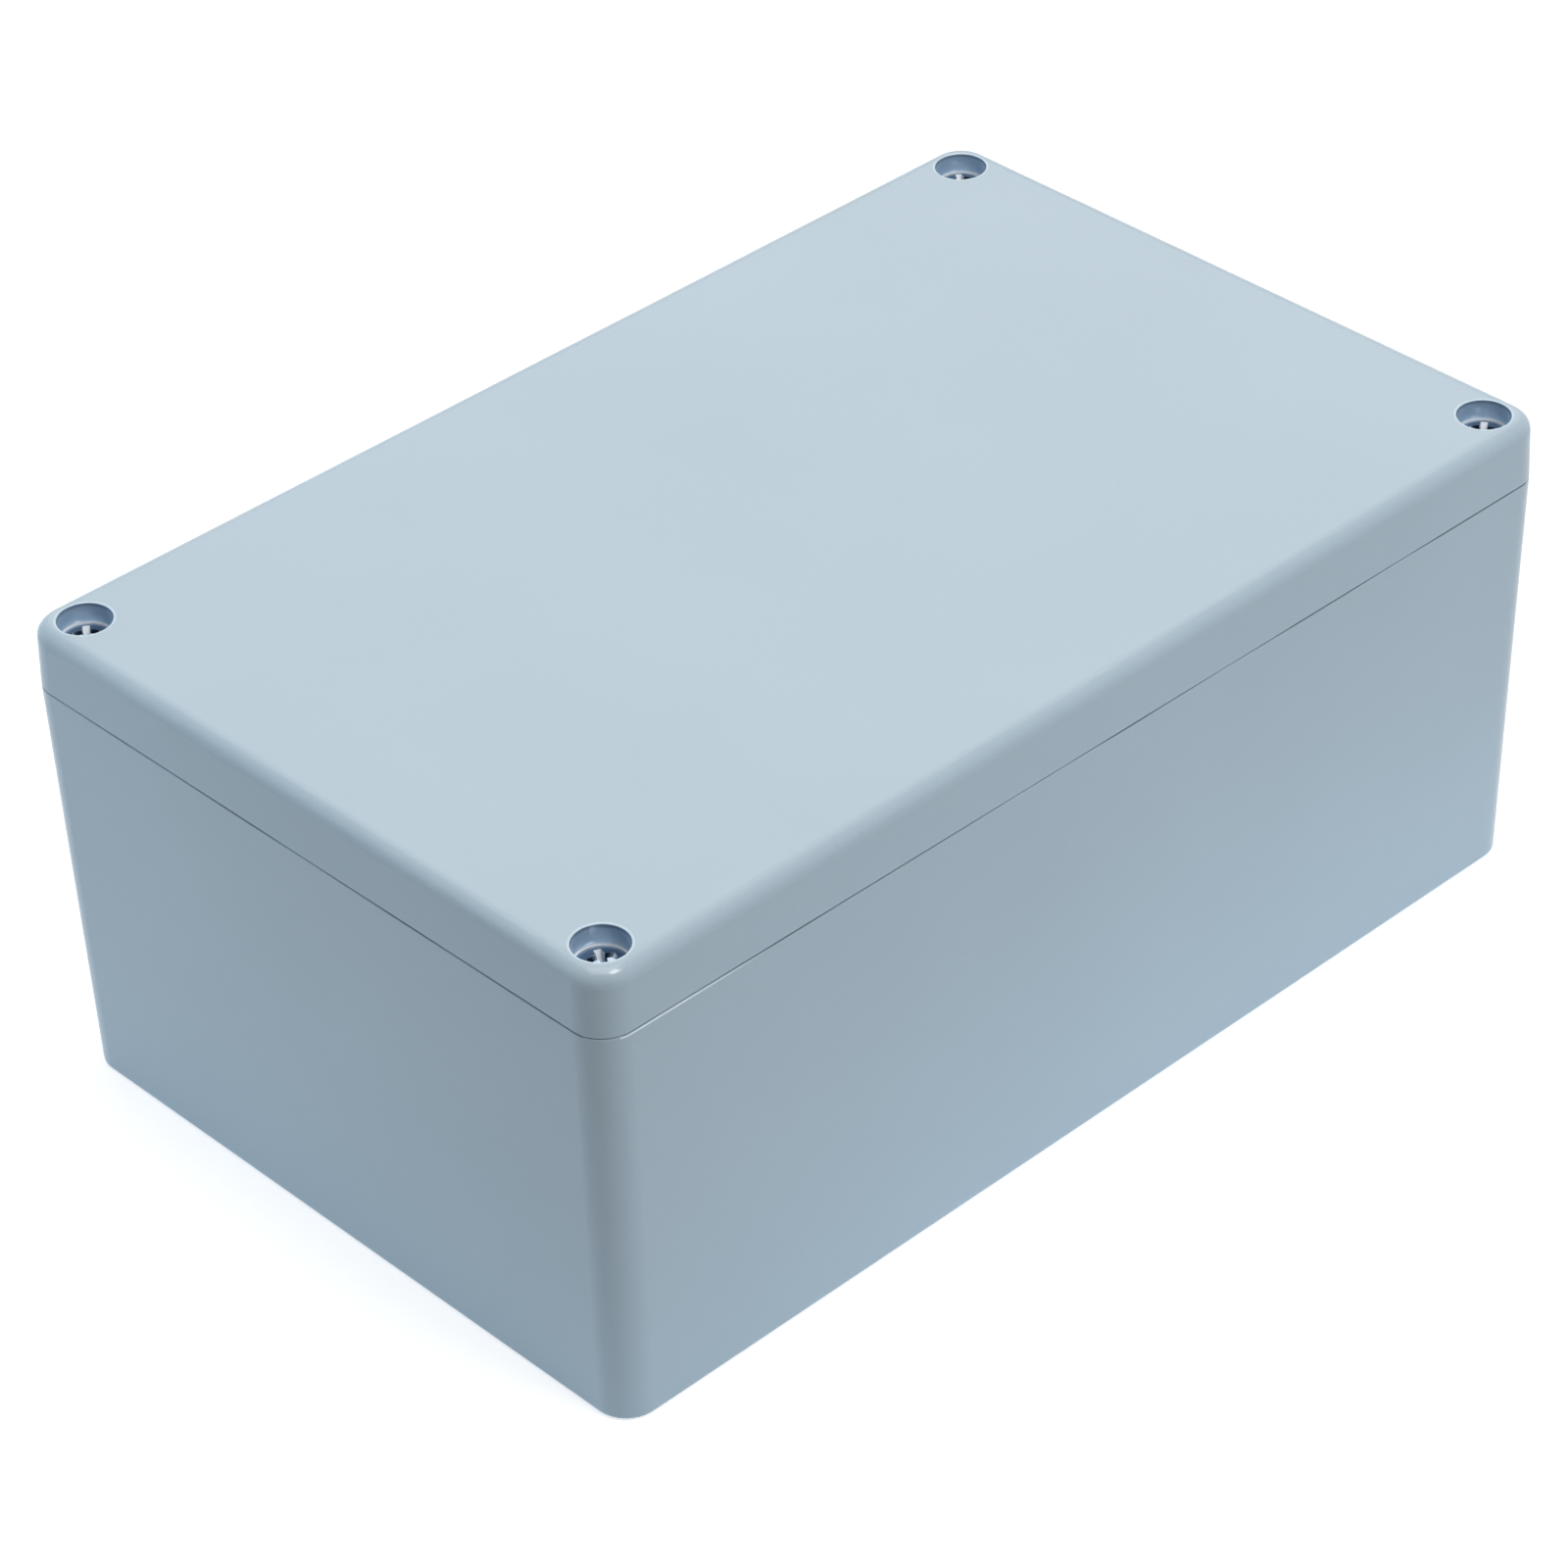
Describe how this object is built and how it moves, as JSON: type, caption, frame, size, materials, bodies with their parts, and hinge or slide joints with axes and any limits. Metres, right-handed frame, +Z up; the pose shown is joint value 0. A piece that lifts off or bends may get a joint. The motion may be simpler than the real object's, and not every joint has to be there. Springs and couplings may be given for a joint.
{
  "type": "aluminium project box",
  "caption": "Rectangular sealed die-cast aluminium enclosure: drafted base with corner pillars and floor bosses, gasketed lift-off lid and countersunk corner screws.",
  "frame": {"origin": "centre of the underside, on the surface that the box stands on", "axes": "+X along the length, +Y across the width, +Z up through the lid"},
  "size_m": [0.188, 0.12, 0.078],
  "materials": {
    "paint": "satin",
    "gasket_rubber": "matte",
    "screw_steel": "satin"
  },
  "bodies": {
    "base": {"base": "paint"},
    "lid": {"lid": "paint", "gasket": "gasket_rubber"},
    "lid_screw_front_left": {"lid_screw_front_left": "screw_steel"},
    "lid_screw_back_left": {"lid_screw_back_left": "screw_steel"},
    "lid_screw_front_right": {"lid_screw_front_right": "screw_steel"},
    "lid_screw_back_right": {"lid_screw_back_right": "screw_steel"}
  },
  "joints": [
    {"name": "lid_lift", "type": "slide", "parent": "base", "child": "lid", "axis": [0, 0, 1], "range_m": [0, 0.08]},
    {"name": "lid_screw_front_left_out", "type": "slide", "parent": "lid", "child": "lid_screw_front_left", "axis": [0, 0, 1], "range_m": [0, 0.021]},
    {"name": "lid_screw_back_left_out", "type": "slide", "parent": "lid", "child": "lid_screw_back_left", "axis": [0, 0, 1], "range_m": [0, 0.021]},
    {"name": "lid_screw_front_right_out", "type": "slide", "parent": "lid", "child": "lid_screw_front_right", "axis": [0, 0, 1], "range_m": [0, 0.021]},
    {"name": "lid_screw_back_right_out", "type": "slide", "parent": "lid", "child": "lid_screw_back_right", "axis": [0, 0, 1], "range_m": [0, 0.021]}
  ]
}
